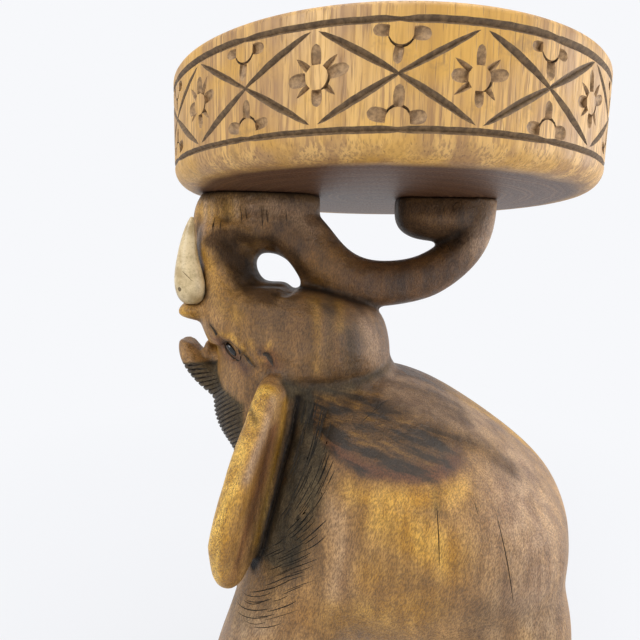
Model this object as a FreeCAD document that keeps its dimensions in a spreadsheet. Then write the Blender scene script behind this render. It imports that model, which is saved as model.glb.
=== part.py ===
import FreeCAD, Part
import math
import os

# Carved elephant stool. The elephant faces -X, its left side is at -Y and the feet stand on Z = 0.
# The seat's axis is the Z axis. All lengths are millimetres.

SIZES = {
    # Seat disc
    "total_height": 460.0,
    "seat_thickness": 60.0,
    "seat_radius": 130.0,
    "seat_upper_round": 2.5,
    "seat_lower_round": 9.0,
    "border_groove_width": 3.4,
    "border_groove_depth": 1.8,
    "upper_border_drop": 7.7,
    "lower_border_rise": 11.2,
    # Elephant, as the log that it is carved from
    "body_reach": 129.0,
    "body_half_width": 96.0,
    "head_half_width": 54.0,
    "trunk_half_width": 27.0,
    "trunk_half_depth": 20.0,
    "leg_spread": 57.0,
    "leg_half_width": 33.0,
    "ear_half_span": 99.0,
    "ear_span": 52.0,
    "ear_thickness": 17.0,
    "jaw_half_width": 21.0,
    "jaw_thickness": 11.0,
    "mouth_half_width": 15.0,
    "tongue_half_width": 8.0,
    "tail_radius": 8.0,
    # Tusks and the brads that hold them
    "tusk_radius": 8.6,
    "tusk_length": 53.0,
    "tusk_side": 33.0,
    "brad_radius": 1.1,
    "brad_head_radius": 1.8,
    "brad_head_height": 0.7,
    "brad_length": 30.0,
    # Eyes
    "eye_radius": 7.0,
    "eye_showing": 3.0,
    # Dowels between the trunk and the seat
    "dowel_radius": 5.0,
    "dowel_length": 44.0,
    "dowel_in_seat": 26.0,
    "dowel_chamfer": 0.8,
    "dowel_end_room": 1.0,
    "dowel_spacing": 32.0,
    # Fits
    "fit_clearance": 0.1,
    "overrun": 5.0,
}

doc = FreeCAD.newDocument("elephant_stool")
sheet = doc.addObject("Spreadsheet::Sheet", "sizes")
for row, (name, value) in enumerate(SIZES.items(), start=1):
    sheet.set(f"A{row}", name)
    sheet.set(f"B{row}", str(value))
    sheet.setAlias(f"B{row}", name)
doc.recompute()


def size(name):
    """One of the sizes above, in millimetres."""
    return float(sheet.get(name))


# The underside of the seat is the plane that every height of the elephant follows.
FIGURE_HEIGHT = size("total_height") - size("seat_thickness")
UNDERSIDE = "sizes.total_height - sizes.seat_thickness"

# Rings of each form, as shares of body_reach (x), of the figure's height (z) and of the form's
# own half width. The torso's rings stand upright: place, lower and upper edge, half width.
TORSO_SHARES = [
    (-0.68, 0.36, 0.58, 0.40),
    (-0.60, 0.305, 0.64, 0.62),
    (-0.33, 0.265, 0.70, 0.86),
    (0.00, 0.253, 0.718, 0.98),
    (0.31, 0.258, 0.696, 1.00),
    (0.62, 0.285, 0.640, 0.94),
    (0.84, 0.330, 0.588, 0.76),
    (0.935, 0.385, 0.552, 0.48),
    (0.965, 0.43, 0.515, 0.20),
]
# The neck's and the head's rings lie across: front edge, rear edge, half width.
HEAD_SHARES = [
    ((-0.48, 0.46), (0.50, 0.53), 1.30),
    ((-0.72, 0.545), (0.34, 0.64), 1.20),
    ((-0.80, 0.600), (0.20, 0.69), 1.02),
    ((-0.85, 0.650), (0.10, 0.73), 0.94),
    ((-0.83, 0.710), (0.085, 0.755), 1.00),
    ((-0.83, 0.752), (0.07, 0.780), 1.00),
    ((-0.88, 0.800), (0.02, 0.812), 0.94),
    ((-0.89, 0.835), (-0.12, 0.836), 0.80),
    ((-0.84, 0.852), (-0.30, 0.850), 0.56),
]
# The trunk's rings: middle, slope of the trunk's run in degrees, half depth and half width.
TRUNK_SHARES = [
    ((-0.700, 0.765), 98, 1.05, 1.56),
    ((-0.755, 0.815), 96, 1.02, 1.54),
    ((-0.780, 0.865), 90, 0.95, 1.24),
    ((-0.750, 0.915), 62, 0.95, 1.04),
    ((-0.655, 0.947), 30, 0.95, 0.94),
    ((-0.530, 0.957), 0, 0.97, 0.90),
    ((-0.425, 0.938), -36, 0.98, 0.88),
    ((-0.305, 0.899), -52, 0.94, 0.84),
    ((-0.170, 0.867), -36, 0.90, 0.80),
    ((0.000, 0.857), -10, 0.80, 0.74),
    ((0.180, 0.864), 16, 0.74, 0.68),
    ((0.350, 0.889), 38, 0.70, 0.64),
    ((0.465, 0.930), 66, 0.68, 0.62),
    ((0.495, 0.978), 86, 0.72, 0.62),
    ((0.500, 1.020), 90, 0.76, 0.64),
]
# The crest, where the trunk broadens under the seat: place, lower and upper edge, half width.
CREST_SHARES = [
    (-0.945, 0.925, 0.965, 0.28),
    (-0.915, 0.905, 0.995, 0.58),
    (-0.820, 0.915, 1.020, 0.84),
    (-0.620, 0.940, 1.025, 0.92),
    (-0.440, 0.945, 1.020, 0.86),
    (-0.340, 0.955, 1.010, 0.66),
    (-0.300, 0.965, 1.002, 0.36),
]
# The web between the trunk and the head, which the hole opens: place, lower and upper edge, half width.
WEB_SHARES = [
    (-0.80, 0.830, 0.925, 0.80),
    (-0.66, 0.825, 0.925, 0.66),
    (-0.52, 0.820, 0.920, 0.54),
    (-0.40, 0.820, 0.895, 0.50),
    (-0.30, 0.820, 0.870, 0.44),
]
# The hole's outline in the middle plane. It widens from its lower rear corner towards both sides:
# place across in shares of trunk_half_width, share of the outline.
HOLE_SHARES = [
    (-0.620, 0.905),
    (-0.643, 0.887),
    (-0.620, 0.867),
    (-0.566, 0.856),
    (-0.490, 0.856),
    (-0.445, 0.847),
    (-0.417, 0.844),
    (-0.390, 0.855),
    (-0.411, 0.872),
    (-0.450, 0.890),
    (-0.488, 0.900),
    (-0.543, 0.907),
]
HOLE_CORNER_SHARES = (-0.39, 0.85)
HOLE_FLARE_SHARES = [(-1.7, 1.85), (-0.85, 1.28), (-0.35, 1.0), (0.35, 1.0), (0.85, 1.28), (1.7, 1.85)]
# The curled tip's rings stand upright: place, lower and upper edge, half width.
TIP_SHARES = [
    (0.56, 0.955, 1.02, 0.40),
    (0.50, 0.942, 1.02, 0.56),
    (0.34, 0.931, 1.02, 0.64),
    (0.20, 0.935, 1.02, 0.60),
    (0.115, 0.952, 1.02, 0.46),
    (0.095, 0.968, 1.02, 0.30),
]
# Legs, from the body down to the sole: middle, height, spread, half length, half width.
FRONT_LEG_SHARES = [
    (-0.28, 0.53, 0.60, 0.70, 0.70),
    (-0.34, 0.44, 0.84, 1.04, 1.00),
    (-0.41, 0.35, 0.96, 1.14, 1.10),
    (-0.505, 0.25, 1.00, 1.12, 1.03),
    (-0.55, 0.14, 1.02, 1.04, 0.93),
    (-0.565, 0.05, 1.05, 1.07, 0.97),
    (-0.575, 0.00, 1.05, 1.15, 1.03),
]
REAR_LEG_SHARES = [
    (0.46, 0.54, 0.56, 0.80, 0.80),
    (0.56, 0.45, 0.82, 1.18, 1.08),
    (0.62, 0.35, 0.94, 1.22, 1.14),
    (0.62, 0.24, 1.00, 1.04, 1.00),
    (0.57, 0.14, 1.02, 0.96, 0.92),
    (0.58, 0.05, 1.05, 1.04, 0.96),
    (0.585, 0.00, 1.05, 1.12, 1.03),
]
# The ear's outline: share of its span outwards from the root, share of its height up from the lobe.
EAR_SHARES = [
    (-0.60, 0.88),
    (0.00, 1.00),
    (0.46, 0.95),
    (0.86, 0.72),
    (1.00, 0.44),
    (0.90, 0.16),
    (0.62, 0.00),
    (0.32, 0.10),
    (-0.10, 0.28),
    (-0.70, 0.44),
]
EAR_LOBE_SHARES = (-0.565, 0.428)
EAR_TOP_SHARES = (-0.455, 0.728)
EAR_SWEEP_DEGREES = 23
# Across the ear's thickness: share of the way through, share of the thickness drawn in.
EAR_ROUND_SHARES = [(0.00, 0.52), (0.12, 0.20), (0.50, 0.00), (0.88, 0.20), (1.00, 0.52)]
# The lower jaw's rings from the throat to the tip: middle, slope of its run, half depth, half width.
JAW_SHARES = [
    ((-0.66, 0.655), 150, 2.00, 1.30),
    ((-0.812, 0.690), 140, 1.15, 1.15),
    ((-0.919, 0.709), 125, 0.78, 0.96),
    ((-0.983, 0.735), 108, 0.60, 0.70),
    ((-1.006, 0.762), 98, 0.28, 0.34),
]
# The upper lip between the tusks: place, lower and upper edge, half width.
LIP_SHARES = [
    (-0.66, 0.784, 0.836, 0.44),
    (-0.80, 0.787, 0.838, 0.56),
    (-0.89, 0.790, 0.837, 0.70),
    (-0.945, 0.796, 0.830, 0.72),
    (-0.972, 0.804, 0.821, 0.56),
]
# The hollow of the mouth, from its back to past the lips.
MOUTH_SHARES = [
    ((-0.62, 0.700), 160, 0.60, 0.60),
    ((-0.76, 0.726), 155, 1.10, 0.95),
    ((-0.86, 0.750), 150, 1.20, 1.05),
    ((-1.06, 0.778), 150, 1.90, 1.40),
]
TONGUE_SHARES = [
    ((-0.64, 0.690), 150, 0.70, 1.00),
    ((-0.76, 0.708), 140, 0.52, 1.00),
    ((-0.835, 0.731), 118, 0.36, 0.70),
    ((-0.874, 0.755), 112, 0.14, 0.28),
]
# The tail lies on the rump: middle, slope of its run, radius.
TAIL_SHARES = [
    ((0.700, 0.600), -32, 0.40),
    ((0.830, 0.568), -44, 0.85),
    ((0.920, 0.505), -72, 1.00),
    ((0.938, 0.430), -84, 0.85),
    ((0.947, 0.360), -84, 0.75),
    ((0.956, 0.310), -82, 0.95),
    ((0.964, 0.270), -80, 1.20),
    ((0.976, 0.235), -80, 0.90),
    ((0.980, 0.222), -80, 0.30),
]
# A tusk's rings from its rounded root to its tip: share of its length along, bow forward in
# shares of its radius, radius.
TUSK_SHARES = [
    (0.00, 0.00, 0.42),
    (0.06, 0.02, 0.84),
    (0.20, 0.08, 1.06),
    (0.42, 0.18, 0.90),
    (0.66, 0.14, 0.62),
    (0.86, -0.02, 0.38),
    (1.00, -0.20, 0.12),
]
TUSK_ROOT_SHARES = (-0.905, 0.824)
TUSK_SLOPE_DEGREES = 91
# The eyes lie on one ring of the head, this far round it from its front edge.
EYE_RING_SHARES = HEAD_SHARES[5]
EYE_ANGLE_DEGREES = 47
FRONT_DOWEL_SHARES = (-0.56, 0.0)
TIP_DOWEL_SHARES = (0.43, 0.0)
BRAD_ALONG_SHARE = 0.18
BRAD_SLANT_DEGREES = 35
RING_POINT_COUNT = 12
RING_START_SHARE = 0.5
SOFT_POWER = 2.2
ROUND_POWER = 2.0
ACROSS = FreeCAD.Vector(0, 1, 0)


def at(shares, side=0.0):
    """A point from its shares of the reach and the height, side millimetres across."""
    return FreeCAD.Vector(shares[0] * size("body_reach"), side, shares[1] * FIGURE_HEIGHT)


def bulge(value, power):
    """The cosine or sine of a ring that is a little squarer than an ellipse."""
    return math.copysign(abs(value) ** (2 / power), value)


def closed_curve(points):
    """A closed smooth curve through points, evenly timed so that neighbouring rings match."""
    curve = Part.BSplineCurve()
    evenly = [step / len(points) for step in range(len(points) + 1)]
    curve.interpolate(Points=points, PeriodicFlag=True, Parameters=evenly)
    return Part.Wire(curve.toShape())


def ring(middle, long_axis, cross_axis, power=SOFT_POWER):
    """A ring round a middle, given its two half axes as vectors."""
    points = []
    for step in range(RING_POINT_COUNT):
        angle = 2 * math.pi * (step + RING_START_SHARE) / RING_POINT_COUNT
        along = long_axis * bulge(math.cos(angle), power)
        points.append(middle + along + cross_axis * bulge(math.sin(angle), power))
    return closed_curve(points)


def skin(label, rings):
    """A solid drawn over a row of rings."""
    form = doc.addObject("Part::Feature", label)
    form.Shape = Part.makeLoft(rings, True)
    return form


def upright_form(label, table, half_width):
    """Rings that stand across the elephant's length."""
    rings = []
    for place, low, high, width in table:
        middle = at((place, (low + high) / 2))
        tall = FreeCAD.Vector(0, 0, (high - low) / 2 * FIGURE_HEIGHT)
        rings.append(ring(middle, tall, ACROSS * (width * half_width)))
    return skin(label, rings)


def running_form(label, table, half_depth, half_width, side=0.0):
    """Rings square to a run in the elephant's middle plane, or beside it."""
    rings = []
    for place, slope, depth, width in table:
        angle = math.radians(slope)
        square = FreeCAD.Vector(-math.sin(angle), 0, math.cos(angle))
        rings.append(ring(at(place, side), square * (depth * half_depth), ACROSS * (width * half_width)))
    return skin(label, rings)


def head_form():
    """The neck and head, over rings given by their front and rear edges."""
    rings = []
    for front, rear, width in HEAD_SHARES:
        middle = (at(front) + at(rear)) / 2
        half = (at(rear) - at(front)) / 2
        rings.append(ring(middle, half, ACROSS * (width * size("head_half_width"))))
    return skin("head_form", rings)


def mirrored(label, source):
    """The same form on the elephant's left side."""
    other = doc.addObject("Part::Mirroring", label)
    other.Source = source
    other.Base = FreeCAD.Vector(0, 0, 0)
    other.Normal = ACROSS
    return other


def leg_form(label, table):
    """A leg on the right side, from inside the body to the sole."""
    rings = []
    for place, height, spread, length, width in table:
        middle = at((place, height), spread * size("leg_spread"))
        along = FreeCAD.Vector(length * size("leg_half_width"), 0, 0)
        rings.append(ring(middle, along, ACROSS * (width * size("leg_half_width"))))
    return skin(label, rings)


def ear_form(label):
    """The right ear: a thick rounded flap that flares outwards and forwards from the neck."""
    root_side = size("ear_half_span") - size("ear_span")
    lobe = at(EAR_LOBE_SHARES, root_side)
    rise = at(EAR_TOP_SHARES, root_side) - lobe
    sweep = math.radians(EAR_SWEEP_DEGREES)
    out = FreeCAD.Vector(-math.sin(sweep), math.cos(sweep), 0) * (size("ear_span") / math.cos(sweep))
    points = [lobe + out * share[0] + rise * share[1] for share in EAR_SHARES]
    middle = sum(points, FreeCAD.Vector()) / len(points)
    through = out.cross(rise).normalize() * size("ear_thickness")
    rings = []
    for way, drawn_in in EAR_ROUND_SHARES:
        inset = drawn_in * size("ear_thickness")
        drawn = [middle + (point - middle) * (1 - inset / (point - middle).Length) for point in points]
        rings.append(closed_curve([point + through * (way - 0.5) for point in drawn]))
    return skin(label, rings)


def hole_form():
    """The hole between the trunk and the head, narrowest in the middle plane."""
    corner = at(HOLE_CORNER_SHARES)
    rings = []
    for aside, share in HOLE_FLARE_SHARES:
        middle = corner + ACROSS * (aside * size("trunk_half_width"))
        rings.append(closed_curve([middle + (at(point) - corner) * share for point in HOLE_SHARES]))
    return skin("hole_form", rings)


def tail_form():
    """The tail, which lies down the rump and ends in a tuft."""
    table = [(place, slope, radius, radius) for place, slope, radius in TAIL_SHARES]
    return running_form("tail_form", table, size("tail_radius"), size("tail_radius"))


def tusk_shape(side, clearance=0.0):
    """A tusk on one side, or with a clearance the pocket that it sits in."""
    radius = size("tusk_radius")
    angle = math.radians(TUSK_SLOPE_DEGREES)
    run = FreeCAD.Vector(math.cos(angle), 0, math.sin(angle))
    forward = FreeCAD.Vector(-math.sin(angle), 0, math.cos(angle))
    root = at(TUSK_ROOT_SHARES, side * size("tusk_side"))
    rings = []
    for along, bow, thick in TUSK_SHARES:
        middle = root + run * (along * size("tusk_length")) + forward * (bow * radius)
        reach = thick * radius + clearance
        rings.append(ring(middle, forward * reach, ACROSS * reach, ROUND_POWER))
    return Part.makeLoft(rings, True)


def fused(label, forms):
    """One solid from several overlapping forms."""
    whole = doc.addObject("Part::MultiFuse", label)
    whole.Shapes = forms
    whole.Refine = False
    return whole


def pair(label, base, tool):
    """The base and the tool as one."""
    both = doc.addObject("Part::Fuse", label)
    both.Base = base
    both.Tool = tool
    both.Refine = False
    return both


def cut(label, base, tool):
    """The base less the tool."""
    less = doc.addObject("Part::Cut", label)
    less.Base = base
    less.Tool = tool
    less.Refine = False
    return less


def cylinder(label, radius, height, place, turn=None):
    """A cylinder that stands on its place, turned if a turn is given."""
    form = doc.addObject("Part::Cylinder", label)
    form.setExpression("Radius", radius)
    form.setExpression("Height", height)
    form.Placement = FreeCAD.Placement(place, turn or FreeCAD.Rotation())
    return form


def seat_blank():
    """The disc with its rounded edges."""
    disc = cylinder("seat_disc", "sizes.seat_radius", "sizes.seat_thickness", FreeCAD.Vector(0, 0, 0))
    disc.setExpression("Placement.Base.z", UNDERSIDE)
    doc.recompute()
    rounded = doc.addObject("Part::Fillet", "seat_rounded")
    rounded.Base = disc
    rounds = []
    for number, edge in enumerate(disc.Shape.Edges, start=1):
        if edge.Closed and len(edge.Vertexes) == 1:
            upper = edge.CenterOfMass.z > FIGURE_HEIGHT + size("seat_thickness") / 2
            radius = size("seat_upper_round") if upper else size("seat_lower_round")
            rounds.append((number, radius, radius))
    rounded.Edges = rounds
    return rounded


def border_groove(label, height):
    """A V groove round the seat's edge, with its middle at a height above the floor."""
    half = size("border_groove_width") / 2
    rim = size("seat_radius")
    bottom = FreeCAD.Vector(rim - size("border_groove_depth"), 0, height)
    mouth = [FreeCAD.Vector(rim, 0, height + half), FreeCAD.Vector(rim, 0, height - half)]
    outer = [point + FreeCAD.Vector(size("overrun"), 0, 0) for point in reversed(mouth)]
    notch = doc.addObject("Part::Feature", f"{label}_notch")
    notch.Shape = Part.makePolygon([bottom] + mouth[1:] + outer + mouth[:1] + [bottom])
    groove = doc.addObject("Part::Revolution", label)
    groove.Source = notch
    groove.Axis = FreeCAD.Vector(0, 0, 1)
    groove.Solid = True
    return groove


def dowel_places():
    """Where the three dowels stand: two across the crest of the trunk, one in its tip."""
    half = size("dowel_spacing") / 2
    crest = at(FRONT_DOWEL_SHARES)
    tip = at(TIP_DOWEL_SHARES)
    return {
        "front_left": FreeCAD.Vector(crest.x - half, 0, 0),
        "front_right": FreeCAD.Vector(crest.x + half, 0, 0),
        "tip": FreeCAD.Vector(tip.x, 0, 0),
    }


def dowel_hole(name, place):
    """The blind hole that one dowel fills, in the seat above and in the trunk below."""
    hole = cylinder(
        f"hole_{name}",
        "sizes.dowel_radius + sizes.fit_clearance",
        "sizes.dowel_length + 2 * sizes.dowel_end_room",
        place,
    )
    low = "sizes.dowel_in_seat - sizes.dowel_length - sizes.dowel_end_room"
    hole.setExpression("Placement.Base.z", f"{UNDERSIDE} + {low}")
    return hole


def seat_dowel(name, place):
    """One dowel with chamfered ends."""
    rod = cylinder(f"rod_{name}", "sizes.dowel_radius", "sizes.dowel_length", place)
    rod.setExpression("Placement.Base.z", f"{UNDERSIDE} + sizes.dowel_in_seat - sizes.dowel_length")
    doc.recompute()
    dowel = doc.addObject("Part::Chamfer", f"seat_dowel_{name}")
    dowel.Base = rod
    depth = size("dowel_chamfer")
    ends = [n for n, edge in enumerate(rod.Shape.Edges, start=1) if len(edge.Vertexes) == 1]
    dowel.Edges = [(number, depth, depth) for number in ends]
    return dowel


def seat_top(holes):
    """The seat with its border grooves and the dowels' holes."""
    grooves = [
        border_groove("upper_groove", size("total_height") - size("upper_border_drop")),
        border_groove("lower_groove", FIGURE_HEIGHT + size("lower_border_rise")),
    ]
    return cut("seat_top", seat_blank(), fused("seat_tools", grooves + holes))


def above_underside():
    """A block over the seat's underside, which trims the trunk to its two seats."""
    block = doc.addObject("Part::Box", "above_underside")
    for side in ("Length", "Width"):
        block.setExpression(side, "2 * sizes.seat_radius")
    block.setExpression("Height", "sizes.seat_thickness")
    block.setExpression("Placement.Base.x", "-sizes.seat_radius")
    block.setExpression("Placement.Base.y", "-sizes.seat_radius")
    block.setExpression("Placement.Base.z", UNDERSIDE)
    return block


def elephant_solid():
    """Everything that is carved from the one log, before its pockets and holes."""
    forms = [
        upright_form("torso_form", TORSO_SHARES, size("body_half_width")),
        head_form(),
        running_form("trunk_form", TRUNK_SHARES, size("trunk_half_depth"), size("trunk_half_width")),
        upright_form("web_form", WEB_SHARES, size("trunk_half_width")),
        upright_form("crest_form", CREST_SHARES, size("trunk_half_width")),
        upright_form("tip_form", TIP_SHARES, size("trunk_half_width")),
        running_form("jaw_form", JAW_SHARES, size("jaw_thickness"), size("jaw_half_width")),
        tail_form(),
    ]
    right_forms = [
        leg_form("front_leg_right", FRONT_LEG_SHARES),
        leg_form("rear_leg_right", REAR_LEG_SHARES),
        ear_form("ear_right"),
    ]
    forms += right_forms
    forms += [mirrored(form.Label.replace("right", "left"), form) for form in right_forms]
    trimmed = cut("elephant_trimmed", fused("elephant_forms", forms), above_underside())
    lip = upright_form("lip_form", LIP_SHARES, size("head_half_width"))
    return pair("elephant_with_lip", trimmed, lip)


def eye_place(side):
    """The middle of an eye, sunk under the cheek's surface so that a set part of it shows."""
    front, rear, width = EYE_RING_SHARES
    angle = math.radians(EYE_ANGLE_DEGREES)
    middle = (at(front) + at(rear)) / 2 + (at(front) - at(rear)) / 2 * bulge(math.cos(angle), SOFT_POWER)
    surface = width * size("head_half_width") * bulge(math.sin(angle), SOFT_POWER)
    sunk = size("eye_radius") - size("eye_showing")
    return middle + ACROSS * (side * (surface - sunk))


def ball(label, radius, place):
    """A ball round its place."""
    form = doc.addObject("Part::Sphere", label)
    form.setExpression("Radius", radius)
    form.Placement = FreeCAD.Placement(place, FreeCAD.Rotation())
    return form


def brad_line(side):
    """Where a brad enters its tusk, and the way it runs: inwards and back into the face."""
    angle = math.radians(TUSK_SLOPE_DEGREES)
    run = FreeCAD.Vector(math.cos(angle), 0, math.sin(angle))
    middle = at(TUSK_ROOT_SHARES, side * size("tusk_side")) + run * (BRAD_ALONG_SHARE * size("tusk_length"))
    slant = math.radians(BRAD_SLANT_DEGREES)
    inwards = FreeCAD.Vector(math.sin(slant), -side * math.cos(slant), 0)
    return middle - inwards * size("tusk_radius"), inwards


def facing(direction):
    """The turn that points a form's own upward axis along a direction."""
    return FreeCAD.Rotation(FreeCAD.Vector(0, 0, 1), direction)


def brad(label, side):
    """A small nail: a shank across the tusk and a low round head on it."""
    start, inwards = brad_line(side)
    shank = cylinder(f"{label}_shank", "sizes.brad_radius", "sizes.brad_length", start, facing(inwards))
    head = doc.addObject("Part::Cone", f"{label}_head")
    head.setExpression("Radius1", "sizes.brad_head_radius")
    head.setExpression("Radius2", "sizes.brad_radius")
    head.setExpression("Height", "sizes.brad_head_height")
    head.Placement = FreeCAD.Placement(start, facing(inwards.negative()))
    return fused(label, [shank, head])


def brad_hole(label, side):
    """The hole that a brad fills, through the tusk and into the face."""
    start, inwards = brad_line(side)
    outside = start - inwards * size("overrun")
    radius = "sizes.brad_radius + sizes.fit_clearance"
    length = "sizes.brad_length + sizes.overrun + sizes.dowel_end_room"
    return cylinder(label, radius, length, outside, facing(inwards))


def tusk_pocket(label, side):
    """The pocket in the face that a tusk is set into."""
    pocket = doc.addObject("Part::Feature", label)
    pocket.Shape = tusk_shape(side, size("fit_clearance"))
    return pocket


def tusk(name, side):
    """One tusk, drilled for its brad."""
    blank = doc.addObject("Part::Feature", f"tusk_blank_{name}")
    blank.Shape = tusk_shape(side)
    return cut(f"tusk_{name}", blank, brad_hole(f"tusk_drilling_{name}", side))


def elephant_body(carved, eyes, holes):
    """The carving with its mouth, hole, pockets, sockets and drillings."""
    tools = list(holes)
    tools.append(hole_form())
    tools.append(
        running_form("mouth_hollow", MOUTH_SHARES, size("jaw_thickness") / 2, size("mouth_half_width"))
    )
    for name, side in (("left", -1), ("right", 1)):
        tools.append(tusk_pocket(f"tusk_pocket_{name}", side))
        tools.append(brad_hole(f"face_drilling_{name}", side))
        tools.append(ball(f"eye_socket_{name}", "sizes.eye_radius + sizes.fit_clearance", eyes[name]))
    hollowed = cut("elephant_hollowed", carved, fused("elephant_tools", tools))
    tongue = running_form("tongue_form", TONGUE_SHARES, size("jaw_thickness"), size("tongue_half_width"))
    return pair("elephant_body", hollowed, tongue)


def build():
    """All the sub-parts, by their labels."""
    places = dowel_places()
    seat_holes = [dowel_hole(f"seat_{name}", place) for name, place in places.items()]
    trunk_holes = [dowel_hole(f"trunk_{name}", place) for name, place in places.items()]
    eyes = {"left": eye_place(-1), "right": eye_place(1)}
    parts = [seat_top(seat_holes), elephant_body(elephant_solid(), eyes, trunk_holes)]
    for name, side in (("left", -1), ("right", 1)):
        parts.append(tusk(name, side))
        parts.append(brad(f"tusk_brad_{name}", side))
        parts.append(ball(f"eye_{name}", "sizes.eye_radius", eyes[name]))
    for name, place in places.items():
        parts.append(seat_dowel(name, place))
    doc.recompute()
    return parts


def check(parts):
    """Stops the build if an object failed or a sub-part isn't one sound solid."""
    for item in doc.Objects:
        if "Invalid" in item.State or "Error" in item.State:
            raise RuntimeError(f"{item.Label} failed: {item.State}")
    for part in parts:
        if part.Shape.isNull() or not part.Shape.isValid() or len(part.Shape.Solids) != 1:
            raise RuntimeError(f"{part.Label} is not one sound solid")


PARTS = build()
check(PARTS)
os.makedirs("parts", exist_ok=True)
for part in PARTS:
    part.Shape.exportStep(os.path.join("parts", part.Label + ".step"))
    print(part.Label, round(part.Shape.Volume), part.Shape.BoundBox)
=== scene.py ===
import math
import random

import bmesh
import bpy
import numpy as np
from mathutils import Matrix, Vector
from mathutils.bvhtree import BVHTree


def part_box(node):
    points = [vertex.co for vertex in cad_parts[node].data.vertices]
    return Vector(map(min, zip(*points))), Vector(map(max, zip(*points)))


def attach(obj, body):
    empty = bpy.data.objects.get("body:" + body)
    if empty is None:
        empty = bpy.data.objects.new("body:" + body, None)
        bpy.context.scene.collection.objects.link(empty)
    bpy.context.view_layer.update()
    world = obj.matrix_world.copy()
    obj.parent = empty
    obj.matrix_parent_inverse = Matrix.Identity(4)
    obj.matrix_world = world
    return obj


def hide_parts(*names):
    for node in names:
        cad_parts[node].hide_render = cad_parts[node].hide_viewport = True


# Carved elephant stool. The elephant faces -X, its left side is at -Y and it stands on Z = 0.
# Tables and sizes are millimetres. Meshes are metres, like the frame.
MM = 0.001

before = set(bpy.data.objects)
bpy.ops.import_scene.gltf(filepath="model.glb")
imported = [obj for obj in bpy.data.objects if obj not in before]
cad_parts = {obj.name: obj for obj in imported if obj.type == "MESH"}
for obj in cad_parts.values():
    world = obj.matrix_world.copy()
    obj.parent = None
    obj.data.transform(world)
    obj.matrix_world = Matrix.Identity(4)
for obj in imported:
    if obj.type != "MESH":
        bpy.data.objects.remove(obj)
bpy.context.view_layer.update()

SEAT_RADIUS = 130.0
SEAT_TOP = 460.0
SEAT_UNDERSIDE = 400.0

# The frieze, by the angle round the seat from the elephant's left side and the height.
LOZENGES = 12
LOZENGE_STEP = 360 / LOZENGES
FIRST_CROSSING = -3.7
UPPER_BORDER = 452.3
LOWER_BORDER = 411.2
LOZENGE_TOP = 450.2
LOZENGE_BOTTOM = 413.6
CROSSING_HEIGHT = 432.4
BUTTON_RADIUS = 4.9


def scene_object(name, mesh):
    """A new object at the origin, in the scene."""
    made = bpy.data.objects.new(name, mesh)
    bpy.context.scene.collection.objects.link(made)
    return made


def piece(bm, name):
    """A finished bmesh as an object at the origin, in the scene."""
    mesh = bpy.data.meshes.new(name)
    bm.to_mesh(mesh)
    bm.free()
    return scene_object(name, mesh)


def modify(made, name, kind, **settings):
    """Gives a piece a modifier."""
    modifier = made.modifiers.new(name, kind)
    for key, value in settings.items():
        setattr(modifier, key, value)


def settled(made):
    """Applies a piece's modifiers."""
    ready = made.evaluated_get(bpy.context.evaluated_depsgraph_get())
    mesh = bpy.data.meshes.new_from_object(ready)
    made.modifiers.clear()
    old = made.data
    made.data = mesh
    bpy.data.meshes.remove(old)


# Carving: each cut is one stroke of a gouge, taken out of the wood.
BLADE_LIFT = 1.2


def gouge(bm, points, normals, widths, depths, hollow=False):
    """One stroke along points on a surface: a blade with a V or a hollow section."""
    across = 6 if hollow else 4
    count = len(points)
    made = bmesh.ops.create_grid(bm, x_segments=count - 1, y_segments=across, size=1)
    for vert in made["verts"]:
        step = round((vert.co.x + 1) / 2 * (count - 1))
        turn = round((vert.co.y + 1) / 2 * across) % across
        before = points[max(step - 1, 0)]
        after = points[min(step + 1, count - 1)]
        side = (after - before).cross(normals[step]).normalized()
        vert.co = points[step] + blade_offset(turn, side, normals[step], widths[step], depths[step], hollow)
    bmesh.ops.remove_doubles(bm, verts=made["verts"], dist=1e-7)


def blade_offset(turn, side, normal, width, depth, hollow):
    """Where one corner of a blade's section lies from the surface point in its middle."""
    if depth <= 0:
        return Vector()
    lift = min(BLADE_LIFT * MM, width)
    flare = 1 + lift / depth * (0.4 if hollow else 1)
    section = [(-flare, lift), (0, -depth), (flare, lift), (0, lift)]
    if hollow:
        section[1:2] = [(-0.72, -depth * 0.62), (0, -depth), (0.72, -depth * 0.62)]
    sideways, outwards = section[turn]
    return side * (sideways * width / 2) + normal * outwards


def spindle(count, full, ends=0.25):
    """Widths or depths along a stroke that swells in its middle and closes at its ends."""
    swell = [math.sin(math.pi * step / (count - 1)) ** 0.8 for step in range(count)]
    values = [full * (ends + (1 - ends) * share) for share in swell]
    values[0] = values[-1] = 0
    return values


def part_way(start, end, share):
    """A place or a pair of values between two others."""
    return [a + (b - a) * share for a, b in zip(start, end)]


def straight(start, end, steps=6, bow=0.0):
    """A path between two places, straight or bowed a little sideways."""
    path = []
    for step in range(steps + 1):
        along = step / steps
        first, second = part_way(start, end, along)
        path.append((first, second + bow * math.sin(math.pi * along)))
    return path


def carve(made, batches, stains):
    """Cuts batches of strokes out of a piece. The cuts get the stains in turn as their finish."""
    for number, strokes in enumerate(batches):
        if not strokes.verts:
            strokes.free()
            continue
        bmesh.ops.recalc_face_normals(strokes, faces=strokes.faces)
        tool = piece(strokes, f"{made.name}_gouge_{number}")
        tool.data.materials.append(stains[min(number, len(stains) - 1)])
        modify(
            made, "gouge", "BOOLEAN", operation="DIFFERENCE", solver="MANIFOLD", material_mode="TRANSFER",
            object=tool,
        )
        settled(made)
        bpy.data.objects.remove(tool)


# The seat


def on_rim(angle, height):
    """A point on the seat's edge and the way out of it there."""
    turn = math.radians(angle)
    out = Vector((math.sin(turn), -math.cos(turn), 0))
    return out * (SEAT_RADIUS * MM) + Vector((0, 0, height * MM)), out


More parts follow.
